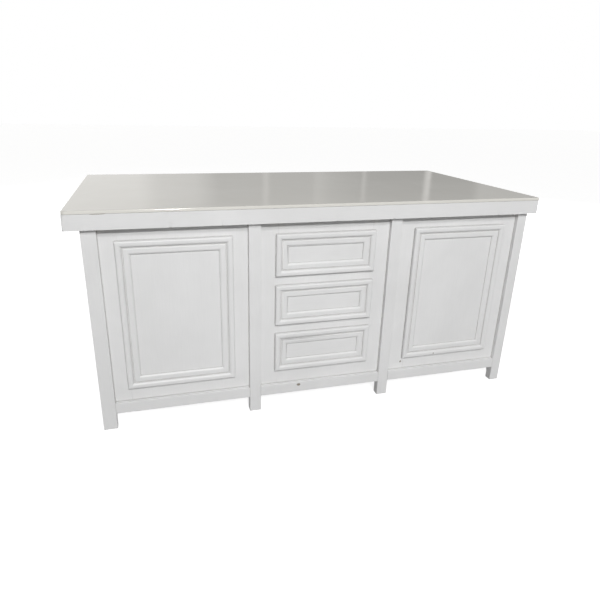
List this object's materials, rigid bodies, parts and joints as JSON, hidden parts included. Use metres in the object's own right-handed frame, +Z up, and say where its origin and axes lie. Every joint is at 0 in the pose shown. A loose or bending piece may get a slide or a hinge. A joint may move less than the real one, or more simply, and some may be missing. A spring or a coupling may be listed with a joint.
{
  "type": "kitchen island unit",
  "caption": "Free-standing kitchen island: thick pale worktop over a painted cabinet on short legs, with moulded doors each side of a stack of moulded drawers.",
  "frame": {"origin": "on the floor, under the middle of the worktop", "axes": "+Z up, +X along the island to the right as seen from the fronts, fronts face -Y"},
  "size_m": [2, 1, 0.93],
  "materials": {
    "worktop_gloss": "polished solid surface",
    "painted_fascia": "satin off-white paint over fine grain, lightly worn",
    "painted_wood": "satin off-white paint, lightly worn",
    "inner_board": "plain white-faced board",
    "drawer_board": "clear-lacquered birch ply",
    "bare_board": "unpainted board",
    "steel": "zinc plated",
    "latch_plastic": "moulded, pale grey"
  },
  "bodies": {
    "cabinet": {"back_panels": "painted_wood", "bottom_rails_back": "painted_wood", "bottom_rails_ends": "painted_wood", "bottom_rails_front": "painted_wood", "cabinet_floor": "inner_board", "corner_leg_back_left": "painted_wood", "corner_leg_back_right": "painted_wood", "corner_leg_front_left": "painted_wood", "corner_leg_front_right": "painted_wood", "end_panel_left": "painted_wood", "end_panel_right": "painted_wood", "face_frame_left": "painted_wood", "face_frame_middle": "painted_wood", "face_frame_right": "painted_wood", "fascia_back": "painted_fascia", "fascia_front": "painted_fascia", "fascia_left": "painted_fascia", "fascia_right": "painted_fascia", "hinge_frame_leaves": "steel", "hinge_pins": "steel", "latch_housings": "latch_plastic", "mid_post_front_left": "painted_wood", "mid_post_front_right": "painted_wood", "mid_posts_back": "painted_wood", "partition_left": "inner_board", "partition_right": "inner_board", "runner_cabinet_members": "steel", "shelf_left": "inner_board", "shelf_pegs": "steel", "shelf_right": "inner_board", "top_stretchers": "inner_board", "worktop_battens": "bare_board", "worktop_core": "bare_board", "worktop_sheet": "worktop_gloss"},
    "left_door": {"left_door_panel": "painted_wood", "left_door_moulding": "painted_wood", "left_door_hinge_leaves": "steel"},
    "right_door": {"right_door_panel": "painted_wood", "right_door_moulding": "painted_wood", "right_door_hinge_leaves": "steel"},
    "top_drawer": {"top_drawer_front": "painted_wood", "top_drawer_moulding": "painted_wood", "top_drawer_box": "drawer_board", "top_drawer_runner_rails": "steel"},
    "top_drawer_sliders": {"top_drawer_runner_sliders": "steel"},
    "middle_drawer": {"middle_drawer_front": "painted_wood", "middle_drawer_moulding": "painted_wood", "middle_drawer_box": "drawer_board", "middle_drawer_runner_rails": "steel"},
    "middle_drawer_sliders": {"middle_drawer_runner_sliders": "steel"},
    "bottom_drawer": {"bottom_drawer_front": "painted_wood", "bottom_drawer_moulding": "painted_wood", "bottom_drawer_box": "drawer_board", "bottom_drawer_runner_rails": "steel"},
    "bottom_drawer_sliders": {"bottom_drawer_runner_sliders": "steel"},
    "left_door_plunger": {"left_door_latch_plunger": "latch_plastic"},
    "right_door_plunger": {"right_door_latch_plunger": "latch_plastic"},
    "top_drawer_plunger": {"top_drawer_latch_plunger": "latch_plastic"},
    "middle_drawer_plunger": {"middle_drawer_latch_plunger": "latch_plastic"},
    "bottom_drawer_plunger": {"bottom_drawer_latch_plunger": "latch_plastic"}
  },
  "joints": [
    {"name": "left_door_swing", "type": "hinge", "parent": "cabinet", "child": "left_door", "pos_m": [-0.82933, -0.4655, 0.4915], "axis": [0, 0, -1], "range_deg": [0, 105]},
    {"name": "right_door_swing", "type": "hinge", "parent": "cabinet", "child": "right_door", "pos_m": [0.85883, -0.4655, 0.4915], "axis": [0, 0, 1], "range_deg": [0, 105]},
    {"name": "top_drawer_slide", "type": "slide", "parent": "cabinet", "child": "top_drawer", "axis": [0, -1, 0], "range_m": [0, 0.48]},
    {"name": "top_drawer_slider_slide", "type": "slide", "parent": "cabinet", "child": "top_drawer_sliders", "axis": [0, -1, 0], "range_m": [0, 0.24]},
    {"name": "middle_drawer_slide", "type": "slide", "parent": "cabinet", "child": "middle_drawer", "axis": [0, -1, 0], "range_m": [0, 0.48]},
    {"name": "middle_drawer_slider_slide", "type": "slide", "parent": "cabinet", "child": "middle_drawer_sliders", "axis": [0, -1, 0], "range_m": [0, 0.24]},
    {"name": "bottom_drawer_slide", "type": "slide", "parent": "cabinet", "child": "bottom_drawer", "axis": [0, -1, 0], "range_m": [0, 0.48]},
    {"name": "bottom_drawer_slider_slide", "type": "slide", "parent": "cabinet", "child": "bottom_drawer_sliders", "axis": [0, -1, 0], "range_m": [0, 0.24]},
    {"name": "left_door_latch_press", "type": "slide", "parent": "cabinet", "child": "left_door_plunger", "axis": [0, 1, 0], "range_m": [0, 0.0022], "stiffness_N_per_m": 300, "springref_m": -0.003},
    {"name": "right_door_latch_press", "type": "slide", "parent": "cabinet", "child": "right_door_plunger", "axis": [0, 1, 0], "range_m": [0, 0.0022], "stiffness_N_per_m": 300, "springref_m": -0.003},
    {"name": "top_drawer_latch_press", "type": "slide", "parent": "cabinet", "child": "top_drawer_plunger", "axis": [0, 1, 0], "range_m": [0, 0.0022], "stiffness_N_per_m": 300, "springref_m": -0.003},
    {"name": "middle_drawer_latch_press", "type": "slide", "parent": "cabinet", "child": "middle_drawer_plunger", "axis": [0, 1, 0], "range_m": [0, 0.0022], "stiffness_N_per_m": 300, "springref_m": -0.003},
    {"name": "bottom_drawer_latch_press", "type": "slide", "parent": "cabinet", "child": "bottom_drawer_plunger", "axis": [0, 1, 0], "range_m": [0, 0.0022], "stiffness_N_per_m": 300, "springref_m": -0.003}
  ],
  "couplings": [
    {"joint": "top_drawer_slider_slide", "follows": "top_drawer_slide", "ratio": 0.5},
    {"joint": "middle_drawer_slider_slide", "follows": "middle_drawer_slide", "ratio": 0.5},
    {"joint": "bottom_drawer_slider_slide", "follows": "bottom_drawer_slide", "ratio": 0.5}
  ]
}
